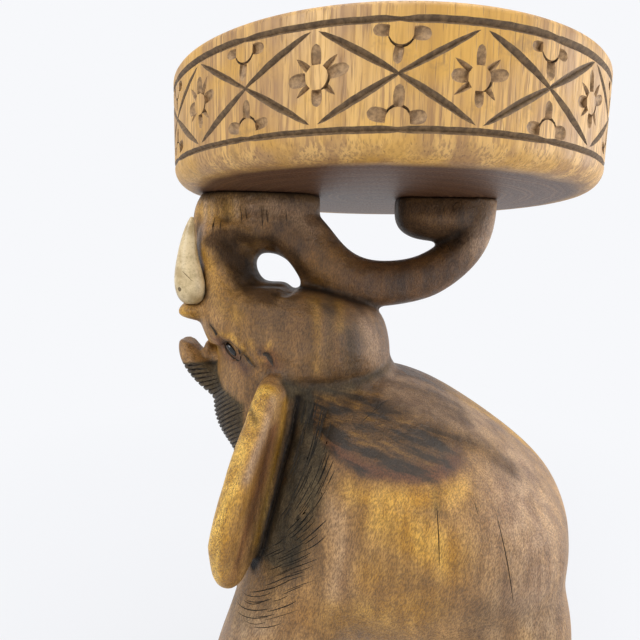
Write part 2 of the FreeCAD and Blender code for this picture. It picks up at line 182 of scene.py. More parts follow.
def rim_stroke(bm, route, width, depth, hollow=False, widths=None, depths=None):
    """A stroke along a route of angles and heights on the seat's edge."""
    places = [on_rim(angle, height) for angle, height in route]
    points = [place for place, out in places]
    outs = [out for place, out in places]
    widths = widths or spindle(len(route), width)
    depths = depths or spindle(len(route), depth)
    gouge(bm, points, outs, [w * MM for w in widths], [d * MM for d in depths], hollow)


def run_between(start, end, steps, hand, waver):
    """Angles and heights from one place to another, drawn by a slightly unsteady hand."""
    path = straight(start, end, steps, hand.uniform(-waver, waver))
    return [(angle, height + hand.uniform(-0.12, 0.12)) for angle, height in path]


def beside(centre, heading, reach):
    """The angle and height on the seat's edge that lie a reach away from a flower's centre."""
    sideways = reach * math.cos(heading)
    return centre[0] + math.degrees(sideways / SEAT_RADIUS), centre[1] + reach * math.sin(heading)


def petal(bm, centre, turn, length, width, pointed):
    """A petal: a chip that is deep beside the button and runs out at its tip."""
    steps = 7
    start = BUTTON_RADIUS * 0.98
    heading = math.radians(turn)
    route, widths, depths = [], [], []
    for step in range(steps + 1):
        along = step / steps
        route.append(beside(centre, heading, start + (length - start) * along))
        shape = (1 - along) ** (0.9 if pointed else 0.45) * (0.72 + 0.9 * along)
        widths.append(width * shape)
        depths.append(2.3 * (1 - along) ** 0.75 + 0.15)
    route.insert(0, route[0])
    widths[-1] = depths[-1] = 0
    widths.insert(0, 0)
    depths.insert(0, 0)
    rim_stroke(bm, route, 0, 0, not pointed, widths, depths)


def button_edge(bm, centre, start, end, width, depth):
    """The curved stop cut along part of a button's edge."""
    steps = 10
    turns = [math.radians(start + (end - start) * step / steps) for step in range(steps + 1)]
    rim_stroke(bm, [beside(centre, turn, BUTTON_RADIUS + width * 0.3) for turn in turns], width, depth)


# Petals of a whole flower and of the half flowers on the borders: direction, length, width.
FLOWER_PETALS = [(16, 14.6, 6.6), (48, 13.2, 4.6), (95, 13.6, 6.0), (142, 13.2, 4.4), (181, 13.0, 7.2),
                 (219, 12.6, 3.6), (272, 12.0, 5.8), (318, 11.6, 4.2)]
UPPER_PETALS = [(182, 11.0, 6.0), (268, 12.5, 6.0), (-4, 11.5, 6.4)]
LOWER_PETALS = [(8, 13.0, 6.8), (88, 13.4, 6.2), (172, 12.6, 6.6)]


def seat_blank():
    """The disc with its rounded edges, a little uneven from the hand that shaped it."""
    bm = bmesh.new()
    middle = Matrix.Translation((0, 0, (SEAT_TOP + SEAT_UNDERSIDE) / 2 * MM))
    bmesh.ops.create_cone(
        bm, cap_ends=True, segments=240, radius1=SEAT_RADIUS * MM, radius2=SEAT_RADIUS * MM,
        depth=(SEAT_TOP - SEAT_UNDERSIDE) * MM, matrix=middle,
    )
    for height, size, steps in ((SEAT_TOP, 3.0, 4), (SEAT_UNDERSIDE, 10.0, 8)):
        rim = [e for e in bm.edges if all(abs(v.co.z - height * MM) < 1e-6 for v in e.verts)]
        bmesh.ops.bevel(
            bm, geom=rim, offset=size * MM, segments=steps, profile=0.5, affect="EDGES", material=-1
        )
    upright = [e for e in bm.edges if abs(e.verts[0].co.z - e.verts[1].co.z) > 30 * MM]
    bmesh.ops.subdivide_edges(bm, edges=upright, cuts=8)
    for face in [f for f in bm.faces if len(f.verts) > 100]:
        for width in (25, 28, 28, 28):
            bmesh.ops.inset_individual(bm, faces=[face], thickness=width * MM)
    for vert in bm.verts:
        turn = math.atan2(vert.co.y, vert.co.x)
        uneven = 0.35 * math.sin(3 * turn + 1) + 0.25 * math.sin(7 * turn + vert.co.z * 40)
        reach = Vector((vert.co.x, vert.co.y, 0)).length / (SEAT_RADIUS * MM)
        vert.co.x *= 1 - (0.6 + uneven) * 0.0015 * reach
        vert.co.y *= 1 - (0.6 + uneven) * 0.0015 * reach
    return piece(bm, "stool_seat")


def seat_frieze():
    """The strokes of the frieze, in batches whose strokes don't touch each other."""
    hand = random.Random(7)
    batches = [bmesh.new() for _ in range(9)]
    for number in range(LOZENGES):
        crossing = FIRST_CROSSING + number * LOZENGE_STEP
        flower = crossing + LOZENGE_STEP / 2
        middle = (crossing, CROSSING_HEIGHT)
        corners = [
            (flower - 0.5, LOZENGE_TOP), (flower - LOZENGE_STEP + 0.5, LOZENGE_BOTTOM),
            (flower - LOZENGE_STEP + 0.5, LOZENGE_TOP), (flower - 0.5, LOZENGE_BOTTOM),
        ]
        for index, corner in enumerate(corners):
            beyond = (middle[0] - (corner[0] - middle[0]) * 0.06, middle[1] - (corner[1] - middle[1]) * 0.06)
            route = run_between(corner, beyond, 12, hand, 0.5)
            rim_stroke(batches[index % 4], route, hand.uniform(3.2, 4.0), hand.uniform(1.7, 2.1))
        for border in (UPPER_BORDER, LOWER_BORDER):
            start = crossing - 1.5 + hand.uniform(-1, 1)
            route = run_between(
                (start, border + hand.uniform(-0.35, 0.35)),
                (start + LOZENGE_STEP + 4, border + hand.uniform(-0.35, 0.35)), 24, hand, 0.3,
            )
            full = hand.uniform(2.9, 3.6)
            widths = [full * min(1, 0.35 + 5 * min(s, 24 - s) / 24) for s in range(25)]
            widths[0] = widths[-1] = 0
            depths = [w * 0.55 for w in widths]
            rim_stroke(batches[4 + number % 2], route, 0, 0, False, widths, depths)
        flowers = [
            ((flower, CROSSING_HEIGHT), FLOWER_PETALS, (-75, 25)),
            ((crossing, UPPER_BORDER - 4.2), UPPER_PETALS, (-175, 5)),
            ((crossing, LOWER_BORDER + 4.2), LOWER_PETALS, (-20, 200)),
        ]
        for centre, petals, edge in flowers:
            centre = (centre[0] + hand.uniform(-0.5, 0.5), centre[1] + hand.uniform(-0.5, 0.5))
            for index, (turn, length, width) in enumerate(petals):
                turn += hand.uniform(-7, 7)
                length *= hand.uniform(0.9, 1.05)
                width *= hand.uniform(0.85, 1.1)
                batch = batches[6 + (index % 2 if index < len(petals) - 1 or len(petals) % 2 == 0 else 1)]
                petal(batch, centre, turn, length, width, width < 5)
            button_edge(batches[8], centre, edge[0], edge[1], 1.3, 1.9)
    return batches


# Finishes


class Finish:
    """A wood or other finish, drawn with nodes on the piece's own coordinates."""

    def __init__(self, name):
        self.material = bpy.data.materials.new(name)
        self.material.use_nodes = True
        self.tree = self.material.node_tree
        self.shader = self.tree.nodes["Principled BSDF"]
        self.place = self.add("ShaderNodeTexCoord").outputs["Object"]

    def add(self, kind, inputs=None, **settings):
        """A new node with its settings and with its inputs, by name or number."""
        made = self.tree.nodes.new(kind)
        for key, value in settings.items():
            setattr(made, key, value)
        for key, value in (inputs or {}).items():
            self.put(made.inputs[key], value)
        return made

    def put(self, target, value):
        """Links a socket to a target, sets the target to a plain value, or leaves it at None."""
        if isinstance(value, bpy.types.NodeSocket):
            self.tree.links.new(value, target)
        elif value is not None:
            target.default_value = value

    def stretched(self, scale, slant=0.0):
        """The piece's coordinates, turned about Y and then stretched per axis."""
        inputs = {"Vector": self.place, "Rotation": (0, slant, 0), "Scale": [1 / part for part in scale]}
        return self.add("ShaderNodeMapping", inputs, vector_type="TEXTURE").outputs["Vector"]

    def noise(self, scale, detail=3.0, rough=0.55, vector=None, distortion=0.0):
        inputs = {"Scale": scale, "Detail": detail, "Roughness": rough, "Distortion": distortion}
        made = self.add("ShaderNodeTexNoise", {"Vector": vector or self.place, **inputs})
        return made.outputs["Fac"]

    def math(self, operation, first, second=0.0, clamp=False):
        made = self.add("ShaderNodeMath", {0: first, 1: second}, operation=operation, use_clamp=clamp)
        return made.outputs[0]

    def times(self, first, second, clamp=False):
        return self.math("MULTIPLY", first, second, clamp)

    def ramp(self, value, low, high, start=0.0, end=1.0):
        """Maps the stretch from low to high smoothly onto start to end."""
        inputs = dict(enumerate((value, low, high, start, end)))
        return self.add("ShaderNodeMapRange", inputs, interpolation_type="SMOOTHSTEP").outputs[0]

    def mix(self, share, first, second, blend="MIX"):
        inputs = {"Factor": share, 6: first, 7: second}
        return self.add("ShaderNodeMix", inputs, data_type="RGBA", blend_type=blend).outputs[2]

    def marked(self, name):
        """A value painted on the piece."""
        return self.add("ShaderNodeAttribute", attribute_name=name).outputs["Fac"]

    def tinted(self, base, tone, share, streaks, low, high):
        """The base with a tone mixed in, a little cloudily, where the piece is marked with it; some tones
        are the wood's colours, others painted shade or painted sheen.
        """
        cloud = self.ramp(self.noise(46.0, 4.0, 0.65), 0.3, 0.6, 0.55, 1.0)
        amount = self.times(self.marked(tone), cloud, True)
        return self.mix(self.times(amount, share), base, self.mix(streaks, low, high))

    def relief(self, height, depth, under=None):
        """Fine relief of the surface, of a depth in metres."""
        inputs = {"Strength": 1.0, "Distance": depth, "Height": height, "Normal": under}
        return self.add("ShaderNodeBump", inputs).outputs["Normal"]

    def gloss(self, base, roughness, normal=None):
        """Gives the finish its colour, its roughness and its relief."""
        for name, value in (("Base Color", base), ("Roughness", roughness), ("Normal", normal)):
            self.put(self.shader.inputs[name], value)
        return self.material


def rgb(red, green, blue):
    """A colour from the 0 to 255 values that a screen shows."""
    values = [c / 255 for c in (red, green, blue)]
    return tuple(c / 12.92 if c <= 0.04045 else ((c + 0.055) / 1.055) ** 2.4 for c in values) + (1.0,)


def from_pith(wood, warp, pith=(-8, 12)):
    """The distance from the log's pith in millimetres, wavering as growth rings do."""
    split = wood.add("ShaderNodeSeparateXYZ", {0: wood.place})
    east = wood.math("SUBTRACT", split.outputs["X"], pith[0] * MM)
    north = wood.math("SUBTRACT", split.outputs["Y"], pith[1] * MM)
    square = wood.math("ADD", wood.times(east, east), wood.times(north, north))
    distance = wood.times(wood.math("SQRT", square), 1 / MM)
    waver = wood.times(wood.math("SUBTRACT", wood.noise(9.0, 3.0), 0.5), warp)
    return wood.math("ADD", distance, waver)


def grain(wood, length):
    """Streaks along the log, fine and coarse, each from 0 to 1, and its open pores."""
    fine = wood.noise(1.0, 3.0, 0.6, wood.stretched((680, 680, 680 / length)))
    coarse = wood.noise(1.0, 3.0, 0.55, wood.stretched((110, 110, 110 / length)))
    pores = wood.noise(1.0, 1.0, 0.5, wood.stretched((1300, 1300, 1300 / length)))
    return fine, coarse, wood.ramp(pores, 0.60, 0.74)


def frieze_wood():
    """The seat: pale golden wood with upright streaks, dark heartwood towards its middle."""
    wood = Finish("seat_golden_wood")
    fine, coarse, pores = grain(wood, 16)
    distance = from_pith(wood, 26, (0, 0))
    sap = wood.ramp(distance, 112, 127)
    gold = wood.mix(wood.ramp(coarse, 0.36, 0.64), rgb(176, 134, 82), rgb(222, 176, 104))
    gold = wood.mix(wood.ramp(fine, 0.44, 0.62, 0, 0.75), gold, rgb(152, 114, 76))
    tan = wood.ramp(wood.noise(30.0, 3.0), 0.44, 0.62, 0, 0.6)
    gold = wood.mix(tan, gold, rgb(214, 162, 66))
    worn = wood.ramp(wood.noise(60.0, 4.0, 0.7), 0.56, 0.72, 0, 0.5)
    gold = wood.mix(worn, gold, rgb(126, 98, 70))
    rings = wood.ramp(wood.math("SINE", wood.times(distance, 1.5)), -0.9, 1.0)
    seasons = wood.ramp(wood.math("SINE", wood.times(distance, 0.43)), -1.0, 1.0, 0.15, 1.0)
    rings = wood.times(rings, seasons)
    heart = wood.mix(rings, rgb(82, 52, 33), rgb(112, 78, 51))
    heart = wood.mix(wood.ramp(coarse, 0.35, 0.7, 0, 0.5), heart, rgb(98, 64, 40))
    base = wood.mix(sap, heart, gold)
    base = wood.mix(wood.times(pores, 0.4), base, rgb(88, 62, 42))
    relief = wood.relief(wood.math("SUBTRACT", fine, wood.times(pores, 0.7)), 0.00016)
    rough = wood.ramp(fine, 0.3, 0.7, 0.40, 0.56)
    return wood.gloss(base, rough, relief)


def stain_finish(name, dark, light):
    """The stained bottoms of the cuts."""
    wood = Finish(name)
    fine = wood.noise(420.0, 4.0, 0.65)
    base = wood.mix(wood.ramp(fine, 0.35, 0.68), dark, light)
    return wood.gloss(base, 0.6, wood.relief(fine, 0.0002))


def body_wood():
    """The elephant: brown heartwood, golden where it is rubbed, darkened by painted shade in its hollows and
    creases, and paled by painted sheen.
    """
    wood = Finish("elephant_lacquered_wood")
    fine, coarse, pores = grain(wood, 5)
    streaks = wood.ramp(coarse, 0.34, 0.66)
    distance = from_pith(wood, 44)
    patch = wood.noise(17.0, 4.0, 0.6)
    sap = wood.ramp(wood.math("ADD", distance, wood.times(patch, 60.0)), 92, 138)
    heart = wood.mix(streaks, rgb(84, 60, 36), rgb(124, 90, 54))
    outer = wood.mix(streaks, rgb(140, 104, 58), rgb(178, 136, 82))
    base = wood.mix(sap, heart, outer)
    amber = wood.ramp(wood.noise(23.0, 4.0, 0.6), 0.47, 0.62, 0, 0.55)
    base = wood.mix(amber, base, rgb(146, 102, 40))
    lines = wood.times(wood.ramp(fine, 0.48, 0.66), 0.34)
    base = wood.mix(lines, base, rgb(74, 52, 30))
    base = wood.tinted(base, "gold", 1.0, streaks, rgb(182, 130, 26), rgb(220, 172, 76))
    ear = wood.times(wood.math("SUBTRACT", wood.marked("gold"), 1.05, True), 2.2, True)
    lean = math.radians(16)
    bright = wood.noise(1.0, 4.0, 0.65, wood.stretched((90, 90, 26), lean))
    bright = wood.times(wood.ramp(bright, 0.40, 0.60, 0.1, 0.9), ear)
    base = wood.mix(bright, base, rgb(252, 206, 100))
    # The pale tone is mostly painted sheen: the pinkish grey of shine on the lacquer, with a few pale grain
    # streaks.
    base = wood.tinted(base, "pale", 0.8, streaks, rgb(152, 120, 94), rgb(196, 166, 136))
    base = wood.tinted(base, "red", 0.85, streaks, rgb(84, 48, 28), rgb(128, 80, 46))
    # The umber tone is partly painted shade, by the trunk's hole, beside the tusks and under the seat, and
    # partly the wood's darker browns.
    base = wood.tinted(base, "umber", 0.92, streaks, rgb(50, 37, 26), rgb(82, 60, 40))
    # The smoke tone is mostly painted shade in the creases, under the head and under the seat, with some
    # grey in the wood and a grey painted reflection on the head.
    base = wood.tinted(base, "grey_tone_and_shade", 0.92, streaks, rgb(54, 51, 42), rgb(86, 77, 60))
    slanting = wood.noise(1.0, 4.0, 0.6, wood.stretched((34, 80, 190), math.radians(17)))
    reddish = wood.mix(wood.marked("red"), rgb(98, 72, 42), rgb(100, 64, 40))
    umber = wood.mix(wood.ramp(slanting, 0.40, 0.54), rgb(42, 34, 25), reddish)
    streak = wood.math("SUBTRACT", wood.ramp(slanting, 0.54, 0.62, 0, 0.8), wood.marked("red"), True)
    umber = wood.mix(streak, umber, rgb(142, 106, 54))
    base = wood.mix(wood.times(wood.marked("band"), 0.94), base, umber)
    cloud = wood.noise(1.0, 4.0, 0.6, wood.stretched((26, 50, 62), math.radians(28)))
    shade = wood.mix(wood.ramp(cloud, 0.34, 0.66), (0.86, 0.84, 0.81, 1), (1.1, 1.09, 1.06, 1))
    base = wood.mix(1.0, base, shade, "MULTIPLY")
    mottle = wood.noise(1.0, 3.0, 0.62, wood.stretched((1500, 1500, 460), lean))
    shade = wood.mix(wood.ramp(mottle, 0.36, 0.64), (0.55, 0.52, 0.49, 1), (1.24, 1.22, 1.17, 1))
    base = wood.mix(0.9, base, shade, "MULTIPLY")
    curl = wood.math("ABSOLUTE", wood.math("SUBTRACT", wood.noise(320.0, 2.0, 0.5, distortion=2.5), 0.5))
    curls = wood.times(wood.ramp(curl, 0.0, 0.05, 0.95, 0.0), wood.ramp(cloud, 0.32, 0.46))
    base = wood.mix(wood.times(curls, ear), base, rgb(88, 52, 20))
    base = wood.mix(wood.times(pores, 0.22), base, rgb(48, 34, 22))
    # Near-black painted shade in the hollows, grooves, creases and seams.
    base = wood.mix(wood.times(wood.marked("shade_and_stain"), 0.94), base, rgb(28, 22, 17))
    pits = wood.noise(1000.0, 3.0, 0.6)
    relief = wood.relief(wood.math("ADD", pits, mottle), 0.0005)
    tooled = wood.relief(wood.noise(110.0, 2.0), 0.0015, relief)
    rough = wood.math("ADD", wood.ramp(coarse, 0.3, 0.7, 0.34, 0.46), wood.times(fine, 0.10))
    dull = wood.math("MAXIMUM", wood.marked("grey_tone_and_shade"), wood.marked("umber"))
    dull = wood.math("MAXIMUM", dull, wood.marked("shade_and_stain"))
    wood.put(wood.shader.inputs["Specular IOR Level"], wood.ramp(dull, 0.1, 1.0, 0.5, 0.16))
    return wood.gloss(base, rough, tooled)


def tusk_finish():
    """The tusks: smooth pale wood with faint cracks along them, browner towards the root, with painted shade
    on the side that faces the head.
    """
    pale = Finish("tusk_pale_wood")
    cloud = pale.noise(90.0, 4.0, 0.65)
    lines = pale.noise(1.0, 3.0, 0.6, pale.stretched((420, 420, 40)))
    specks = pale.noise(800.0, 3.0, 0.65)
    base = pale.mix(pale.ramp(cloud, 0.35, 0.65), rgb(176, 152, 108), rgb(224, 202, 158))
    base = pale.mix(pale.ramp(lines, 0.56, 0.74, 0, 0.5), base, rgb(140, 112, 70))
    base = pale.mix(pale.ramp(specks, 0.52, 0.7, 0, 0.45), base, rgb(150, 126, 84))
    # Painted shade on the side facing the head, and browner towards the root.
    base = pale.mix(pale.times(pale.marked("shade_and_stain"), 0.8), base, rgb(96, 76, 48))
    return pale.gloss(base, 0.36, pale.relief(specks, 0.00014))


def eye_finish():
    """The eyes: glossy black."""
    glass = Finish("eye_gloss_black")
    haze = glass.noise(300.0, 2.0)
    base = glass.mix(haze, rgb(5, 4, 4), rgb(12, 10, 9))
    glass.shader.inputs["Specular IOR Level"].default_value = 0.5
    return glass.gloss(base, 0.04)


def brad_finish():
    """The brads: dull dark steel."""
    steel = Finish("brad_dull_steel")
    haze = steel.noise(900.0, 2.0)
    base = steel.mix(haze, rgb(92, 80, 62), rgb(138, 122, 96))
    steel.shader.inputs["Metallic"].default_value = 1.0
    return steel.gloss(base, steel.ramp(haze, 0.3, 0.7, 0.4, 0.6))


def dowel_finish():
    """The dowels: bare turned wood."""
    wood = Finish("dowel_bare_wood")
    fine = grain(wood, 16)[0]
    base = wood.mix(wood.ramp(fine, 0.3, 0.7), rgb(176, 140, 96), rgb(204, 172, 126))
    return wood.gloss(base, 0.7, wood.relief(fine, 0.0001))


# The elephant


def node_copy(node, name, swellings=()):
    """A copy of a CAD node's mesh, closed up, with round swellings: place and half sizes."""
    bm = bmesh.new()
    bm.from_mesh(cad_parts[node].data)
    bmesh.ops.remove_doubles(bm, verts=bm.verts, dist=1e-6)
    for place, reach in swellings:
        form = Matrix.Translation(Vector(place) * MM) @ Matrix.Diagonal((*(r * MM for r in reach), 1))
        bmesh.ops.create_icosphere(bm, subdivisions=3, radius=1, matrix=form)
    return piece(bm, name)


def even_skin(made, voxel, passes):
    """Gives a piece an even mesh and eases its edges as sanding does."""
    modify(made, "even", "REMESH", mode="VOXEL", voxel_size=voxel * MM)
    modify(made, "sanded", "SMOOTH", factor=0.5, iterations=passes)
    settled(made)


def read_points(mesh):
    """A mesh's points and normals as arrays, the points in millimetres."""
    points = np.empty(len(mesh.vertices) * 3)
    normals = np.empty(len(mesh.vertices) * 3)
    mesh.vertices.foreach_get("co", points)
    mesh.vertices.foreach_get("normal", normals)
    return points.reshape(-1, 3) / MM, normals.reshape(-1, 3)


def write_points(mesh, points):
    """Moves a mesh's points, given in millimetres."""
    mesh.vertices.foreach_set("co", (points * MM).ravel())
    mesh.update()


def gap_to_path(flat, path):
    """How far each flat point lies from a path, and how far along it, from 0 to 1."""
    best = np.full(len(flat), 1e9)
    along = np.zeros(len(flat))
    corners = np.array(path, float)
    for number in range(len(corners) - 1):
        start, run = corners[number], corners[number + 1] - corners[number]
        share = np.clip(((flat - start) @ run) / (run @ run), 0, 1)
        gap = np.linalg.norm(flat - (start + share[:, None] * run), axis=1)
        nearer = gap < best
        best[nearer] = gap[nearer]
        along[nearer] = (number + share[nearer]) / (len(corners) - 1)
    return best, along


# The spacing of the elephant's even skin and the share of its triangles that is kept.
SKIN_SPACING = 1.65
KEPT_SHARE = 0.43
# Swellings, by place and half sizes: the tongue, inside the lower lip.
TONGUE = [((-113.5, 0, 293), (4.0, 9, 9)), ((-106, 0, 290), (9, 10, 6))]
# The root of the trunk, which stands out between the tusks.
ROOT = [((-104, 0, 364), (15.5, 36, 27))]
# Where the forms flow into each other: lowest and highest corner without sides, passes.
EASED = [
    ((-115, 25, 100), (125, 110, 205), 90),
    ((-112, 0, 322), (-36, 32, 376), 8),
    ((-110, 0, 130), (-58, 60, 236), 60),
    ((-118, 0, 236), (-96, 30, 268), 12),
    ((-62, 10, 366), (-20, 40, 397), 20),
    ((-60, 8, 264), (14, 62, 300), 50),
]
# Paths in X and Z that several of the tables below follow.
EAR_GROOVE = [(-49, 276), (-52, 257), (-57, 237), (-62, 215), (-68, 189), (-74, 176)]
EAR_FOLD = [(-82, 280), (-73, 276), (-70, 272)]
TEMPLE_WRINKLE = [(-72, 304), (-67, 303), (-64, 296)]
CREST_TOP = [(-118, 400), (-40, 400)]
# Soft hollows and swellings on both sides of the elephant, in X and Z: path, width, depth, least and
# greatest distance from the middle plane. A negative depth swells.
CREASES = [
    (TEMPLE_WRINKLE, 2.0, 1.2, 20, 70),
    ([(-104, 318), (-99, 312), (-95, 307)], 1.8, 1.2, 15, 60),
    ([(-85, 303), (-80, 299), (-75, 294)], 2.0, 1.4, 20, 60),
    ([(-66, 291), (-50, 285), (-30, 284), (-8, 287), (9, 293)], 3.0, 1.8, 12, 90),
    ([(-100, 311), (-91, 311), (-84, 305), (-79, 297)], 1.8, -1.6, 20, 60),
    ([(-98, 306), (-95, 299), (-89, 294), (-82, 293)], 1.7, -1.0, 20, 60),
    ([(-78, 309), (-72, 299), (-66, 309), (-58, 302)], 3.0, -1.2, 20, 70),
    (EAR_GROOVE, 2.6, 1.8, 46, 72),
    ([(-66, 285), (-64, 277), (-67, 268), (-71, 257), (-76, 238), (-80, 219), (-84, 200)],
     3.6, -1.8, 68, 120),
    (EAR_FOLD, 1.6, 0.8, 68, 120),
    ([(-118, 376), (-104, 376), (-92, 377), (-81, 373), (-66, 369), (-50, 358)], 3.0, -1.6, 12, 40),
    ([(-108, 370), (-96, 368), (-86, 366)], 5.0, 1.6, 12, 40),
    ([(-38, 334), (-37, 316), (-38, 294)], 3.5, -0.9, 20, 70),
    ([(-31, 334), (-30, 316), (-31, 294)], 3.5, 0.9, 20, 70),
    ([(-100, 340), (-86, 330), (-74, 318), (-60, 310)], 5.0, -1.0, 20, 70),
    ([(-92, 120), (-72, 112), (-48, 116)], 4.0, 1.6, 20, 110),
    ([(48, 122), (76, 112), (104, 118)], 4.0, 1.6, 20, 110),
    ([(-88, 52), (-72, 48), (-52, 52)], 3.0, 1.2, 20, 110),
    ([(56, 50), (76, 46), (96, 50)], 3.0, 1.2, 20, 110),
]
# How far each ear's front edge is trimmed back, by its height: height, trim. The trim runs out at the
# ear's rear edge, which is given by its height too.
EAR_TRIM = [(192, 0), (204, 0.8), (218, 2.6), (240, 4.9), (270, 5.6), (282, 3.6), (292, 0)]
EAR_REAR = [(176, -74), (205, -65), (238, -57), (266, -51), (277, -49)]
EAR_BREADTH = 34
# The ears and the cheeks begin this far from the middle plane.
EAR_ASIDE = 52
CHEEK_ASIDE = 24
# How far round an eye the cheek is drawn flat, and the outside of the ring that gives its slope.
SOCKET_REACH = 8.5
SOCKET_RING = 12
EYE_PLACE = (-90.0, 302.4)
EYE_SLANT = math.radians(-48)
EYE_LENGTH = 6.2
EYE_HEIGHT = 2.9

